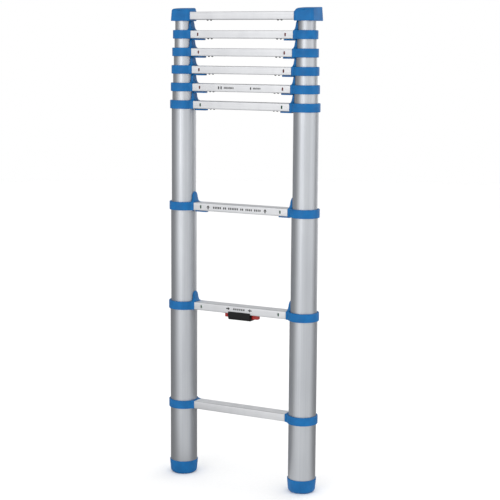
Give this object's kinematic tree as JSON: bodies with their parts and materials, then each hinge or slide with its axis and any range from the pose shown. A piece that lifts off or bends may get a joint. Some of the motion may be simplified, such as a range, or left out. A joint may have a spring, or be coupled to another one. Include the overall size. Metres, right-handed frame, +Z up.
{
  "type": "telescopic extension ladder",
  "caption": "Leaning ladder whose round aluminium stile tubes slide inside each other, with a rung, blue collars and spring lock bolts on each section.",
  "frame": {"origin": "on the ground, midway between the two feet", "axes": "+Z up along the stiles, +X to the right from the left stile to the right one, +Y away from the user, towards the wall that the caps lean on"},
  "size_m": [0.473, 0.086, 1.3585],
  "materials": {
    "anodised_tube": "satin anodised, drawn tube",
    "extruded_rung": "extruded, satin, ribbed tread",
    "blue_nylon": "moulded glass-filled nylon",
    "black_nylon": "moulded nylon, fine grain",
    "red_nylon": "moulded nylon, semi-gloss",
    "green_flag": "moulded, behind the indicator windows of the locked rungs",
    "red_flag": "moulded, behind the indicator windows of the unlocked rungs",
    "black_print": "printed labels",
    "zinc_steel": "bright zinc plated"
  },
  "bodies": {
    "section_1": {"foot_left": "blue_nylon", "tube_1_left": "anodised_tube", "collar_1_left": "blue_nylon", "collar_2_left": "blue_nylon", "foot_right": "blue_nylon", "tube_1_right": "anodised_tube", "collar_1_right": "blue_nylon", "collar_2_right": "blue_nylon", "rung_1": "extruded_rung", "rung_2": "extruded_rung", "release_housing": "black_nylon"},
    "section_2": {"tube_2_left": "anodised_tube", "tube_2_right": "anodised_tube", "collar_3_left": "blue_nylon", "collar_3_right": "blue_nylon", "rung_3": "extruded_rung"},
    "section_3": {"tube_3_left": "anodised_tube", "tube_3_right": "anodised_tube", "collar_4_left": "blue_nylon", "collar_4_right": "blue_nylon", "rung_4": "extruded_rung"},
    "section_4": {"tube_4_left": "anodised_tube", "tube_4_right": "anodised_tube", "collar_5_left": "blue_nylon", "collar_5_right": "blue_nylon", "rung_5": "extruded_rung"},
    "section_5": {"tube_5_left": "anodised_tube", "tube_5_right": "anodised_tube", "collar_6_left": "blue_nylon", "collar_6_right": "blue_nylon", "rung_6": "extruded_rung"},
    "section_6": {"tube_6_left": "anodised_tube", "tube_6_right": "anodised_tube", "collar_7_left": "blue_nylon", "collar_7_right": "blue_nylon", "rung_7": "extruded_rung"},
    "section_7": {"tube_7_left": "anodised_tube", "tube_7_right": "anodised_tube", "collar_8_left": "blue_nylon", "collar_8_right": "blue_nylon", "rung_8": "extruded_rung"},
    "section_8": {"tube_8_left": "anodised_tube", "tube_8_right": "anodised_tube", "top_cap_left": "blue_nylon", "top_cap_right": "blue_nylon", "rung_9": "extruded_rung"},
    "release_left": {"release_slide_left": "red_nylon"},
    "release_right": {"release_slide_right": "red_nylon"},
    "lock_bolt_3_left": {"lock_bolt_3_left": "zinc_steel"},
    "lock_bolt_3_right": {"lock_bolt_3_right": "zinc_steel"},
    "lock_bolt_4_left": {"lock_bolt_4_left": "zinc_steel"},
    "lock_bolt_4_right": {"lock_bolt_4_right": "zinc_steel"},
    "lock_bolt_5_left": {"lock_bolt_5_left": "zinc_steel"},
    "lock_bolt_5_right": {"lock_bolt_5_right": "zinc_steel"},
    "lock_bolt_6_left": {"lock_bolt_6_left": "zinc_steel"},
    "lock_bolt_6_right": {"lock_bolt_6_right": "zinc_steel"},
    "lock_bolt_7_left": {"lock_bolt_7_left": "zinc_steel"},
    "lock_bolt_7_right": {"lock_bolt_7_right": "zinc_steel"},
    "lock_bolt_8_left": {"lock_bolt_8_left": "zinc_steel"},
    "lock_bolt_8_right": {"lock_bolt_8_right": "zinc_steel"}
  },
  "joints": [
    {"name": "section_2_slide", "type": "slide", "parent": "section_1", "child": "section_2", "axis": [0, 0, 1], "range_m": [-0.2407, 0]},
    {"name": "section_3_slide", "type": "slide", "parent": "section_2", "child": "section_3", "axis": [0, 0, 1], "range_m": [-0.2407, 0]},
    {"name": "section_4_slide", "type": "slide", "parent": "section_3", "child": "section_4", "axis": [0, 0, 1], "range_m": [0, 0.2407]},
    {"name": "section_5_slide", "type": "slide", "parent": "section_4", "child": "section_5", "axis": [0, 0, 1], "range_m": [0, 0.2407]},
    {"name": "section_6_slide", "type": "slide", "parent": "section_5", "child": "section_6", "axis": [0, 0, 1], "range_m": [0, 0.2407]},
    {"name": "section_7_slide", "type": "slide", "parent": "section_6", "child": "section_7", "axis": [0, 0, 1], "range_m": [0, 0.2407]},
    {"name": "section_8_slide", "type": "slide", "parent": "section_7", "child": "section_8", "axis": [0, 0, 1], "range_m": [0, 0.2407]},
    {"name": "release_left_slide", "type": "slide", "parent": "section_1", "child": "release_left", "axis": [-1, 0, 0], "range_m": [-0.004, 0.004], "stiffness_N_per_m": 300, "springref_m": 0.008},
    {"name": "release_right_slide", "type": "slide", "parent": "section_1", "child": "release_right", "axis": [1, 0, 0], "range_m": [-0.004, 0.004], "stiffness_N_per_m": 300, "springref_m": 0.008},
    {"name": "lock_bolt_3_left_slide", "type": "slide", "parent": "section_2", "child": "lock_bolt_3_left", "axis": [-1, 0, 0], "range_m": [-0.004, 0.004], "stiffness_N_per_m": 300, "springref_m": 0.008},
    {"name": "lock_bolt_3_right_slide", "type": "slide", "parent": "section_2", "child": "lock_bolt_3_right", "axis": [1, 0, 0], "range_m": [-0.004, 0.004], "stiffness_N_per_m": 300, "springref_m": 0.008},
    {"name": "lock_bolt_4_left_slide", "type": "slide", "parent": "section_3", "child": "lock_bolt_4_left", "axis": [-1, 0, 0], "range_m": [-0.004, 0], "stiffness_N_per_m": 300, "springref_m": 0.004},
    {"name": "lock_bolt_4_right_slide", "type": "slide", "parent": "section_3", "child": "lock_bolt_4_right", "axis": [1, 0, 0], "range_m": [-0.004, 0], "stiffness_N_per_m": 300, "springref_m": 0.004},
    {"name": "lock_bolt_5_left_slide", "type": "slide", "parent": "section_4", "child": "lock_bolt_5_left", "axis": [-1, 0, 0], "range_m": [-0.004, 0], "stiffness_N_per_m": 300, "springref_m": 0.004},
    {"name": "lock_bolt_5_right_slide", "type": "slide", "parent": "section_4", "child": "lock_bolt_5_right", "axis": [1, 0, 0], "range_m": [-0.004, 0], "stiffness_N_per_m": 300, "springref_m": 0.004},
    {"name": "lock_bolt_6_left_slide", "type": "slide", "parent": "section_5", "child": "lock_bolt_6_left", "axis": [-1, 0, 0], "range_m": [-0.004, 0], "stiffness_N_per_m": 300, "springref_m": 0.004},
    {"name": "lock_bolt_6_right_slide", "type": "slide", "parent": "section_5", "child": "lock_bolt_6_right", "axis": [1, 0, 0], "range_m": [-0.004, 0], "stiffness_N_per_m": 300, "springref_m": 0.004},
    {"name": "lock_bolt_7_left_slide", "type": "slide", "parent": "section_6", "child": "lock_bolt_7_left", "axis": [-1, 0, 0], "range_m": [-0.004, 0], "stiffness_N_per_m": 300, "springref_m": 0.004},
    {"name": "lock_bolt_7_right_slide", "type": "slide", "parent": "section_6", "child": "lock_bolt_7_right", "axis": [1, 0, 0], "range_m": [-0.004, 0], "stiffness_N_per_m": 300, "springref_m": 0.004},
    {"name": "lock_bolt_8_left_slide", "type": "slide", "parent": "section_7", "child": "lock_bolt_8_left", "axis": [-1, 0, 0], "range_m": [-0.004, 0], "stiffness_N_per_m": 300, "springref_m": 0.004},
    {"name": "lock_bolt_8_right_slide", "type": "slide", "parent": "section_7", "child": "lock_bolt_8_right", "axis": [1, 0, 0], "range_m": [-0.004, 0], "stiffness_N_per_m": 300, "springref_m": 0.004}
  ]
}
